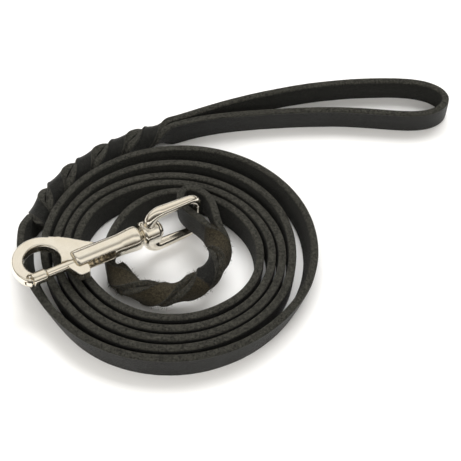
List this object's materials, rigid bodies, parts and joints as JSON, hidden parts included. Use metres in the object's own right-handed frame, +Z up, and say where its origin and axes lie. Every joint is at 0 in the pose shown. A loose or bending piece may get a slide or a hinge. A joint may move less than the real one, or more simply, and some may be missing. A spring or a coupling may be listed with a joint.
{
  "type": "training leash",
  "caption": "Flat black leather lead wound on edge into a coil, with braided ends, a hand loop and a swivel bolt snap with a spring bolt.",
  "frame": {"origin": "on the surface that the leash lies on, under the middle of the whole object's box", "axes": "+Z up, across the width of the strip that stands on edge; +X from the coil's middle towards the closed end of the hand loop; +Y from the coil towards the side the hand loop lies on"},
  "size_m": [0.19, 0.1586, 0.0284],
  "materials": {
    "leather": "smooth dark charcoal leather with a fine grain and raw, slightly paler cut edges",
    "leather_flesh": "the same leather with its rough brown-black flesh side showing",
    "nickel": "bright nickel plate over a die casting, softly polished",
    "steel": "plain bright steel"
  },
  "bodies": {
    "lead": {"lead_coil": "leather", "coil_inner_turn": "leather", "handle_braid_main": "leather", "handle_braid_tail": "leather", "handle_loop": "leather", "snap_braid_main": "leather_flesh", "snap_braid_tail": "leather_flesh", "snap_loop": "leather"},
    "eye": {"swivel_eye": "nickel"},
    "snap": {"snap_body": "nickel", "swivel_post": "steel", "bolt_spring": "steel"},
    "bolt": {"bolt_rod": "nickel", "thumb_tab": "nickel"}
  },
  "joints": [
    {"name": "eye_swing", "type": "hinge", "parent": "lead", "child": "eye", "pos_m": [-0.0201, -0.00636, 0.0144], "axis": [0.0596, 0.0362, 0.9976], "range_deg": [-7, 18]},
    {"name": "snap_swivel", "type": "hinge", "parent": "eye", "child": "snap", "pos_m": [-0.04397, -0.02087, 0.01635], "axis": [-0.8524, -0.5183, 0.0698], "range_deg": [-22, 0]},
    {"name": "bolt_slide", "type": "slide", "parent": "snap", "child": "bolt", "axis": [0.8524, 0.5183, -0.0698], "range_m": [0, 0.011], "stiffness_N_per_m": 600, "springref_m": -0.004, "deforming": ["bolt_spring"]}
  ]
}
